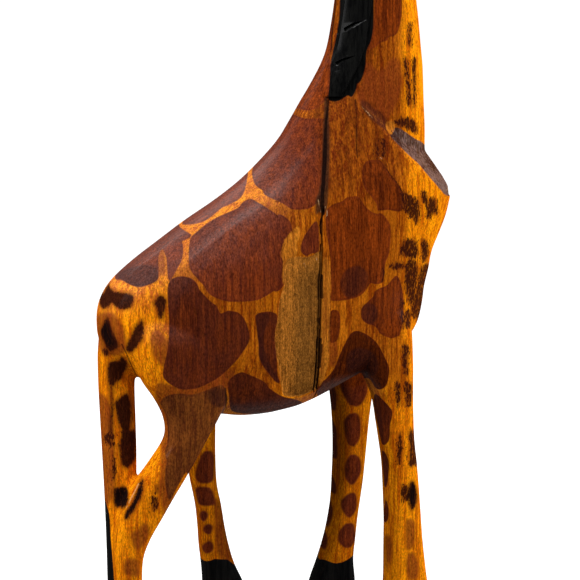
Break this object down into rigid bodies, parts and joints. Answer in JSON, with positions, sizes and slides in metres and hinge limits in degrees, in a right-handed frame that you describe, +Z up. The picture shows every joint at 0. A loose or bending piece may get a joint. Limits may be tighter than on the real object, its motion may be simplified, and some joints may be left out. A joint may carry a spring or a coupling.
{
  "type": "carved wooden giraffe statue",
  "caption": "Carved and painted wooden giraffe standing in a walking pose, glued up from two blocks with a notched mane, inset ears and a hock-length tail.",
  "frame": {"origin": "floor level below the centre of the bounding box", "axes": "+X the way the giraffe faces, +Y its left side, +Z up"},
  "size_m": [0.3502, 0.11, 0.9147],
  "materials": {
    "stained_wood": "orange-stained hardwood under satin varnish, with hand-painted brown patches, scorched marks and black mane, hooves and tuft",
    "ear_wood": "orange-stained hardwood under satin varnish",
    "dried_glue_filler": "dark dried glue and sawdust",
    "dowel_wood": "plain unfinished hardwood"
  },
  "bodies": {
    "root": {"front_block": "stained_wood", "rear_block": "stained_wood", "seam_filler": "dried_glue_filler", "ear_left": "ear_wood", "ear_right": "ear_wood", "dowel_lower": "dowel_wood", "dowel_middle": "dowel_wood", "dowel_upper": "dowel_wood"}
  },
  "joints": []
}
